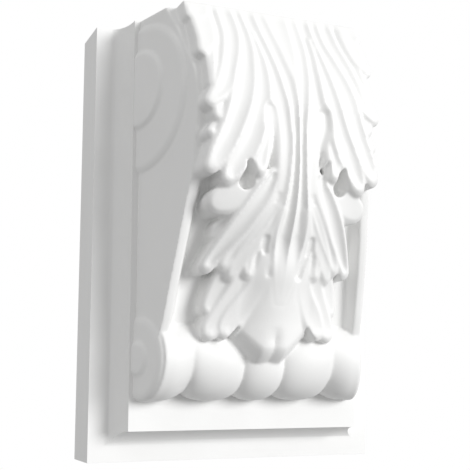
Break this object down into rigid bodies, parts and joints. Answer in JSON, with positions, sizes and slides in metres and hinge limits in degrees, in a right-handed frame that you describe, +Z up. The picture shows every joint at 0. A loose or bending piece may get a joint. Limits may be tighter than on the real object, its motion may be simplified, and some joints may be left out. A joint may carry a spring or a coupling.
{
  "type": "corbel",
  "caption": "Wall corbel with a moulded back plate and a scrolled bracket, whose front carries an acanthus leaf curling over a beaded roll.",
  "frame": {"origin": "centre of the flat back face, halfway up and midway across, on the wall's surface", "axes": "+Z up the corbel, from its foot to its flat top; +Y into the wall, so the leaf faces -Y; +X to the right as one faces the leaf"},
  "size_m": [0.14, 0.0956, 0.2],
  "materials": {
    "white_casting": "matt to satin factory primer on a smooth cast surface"
  },
  "bodies": {
    "root": {"corbel": "white_casting"}
  },
  "joints": []
}
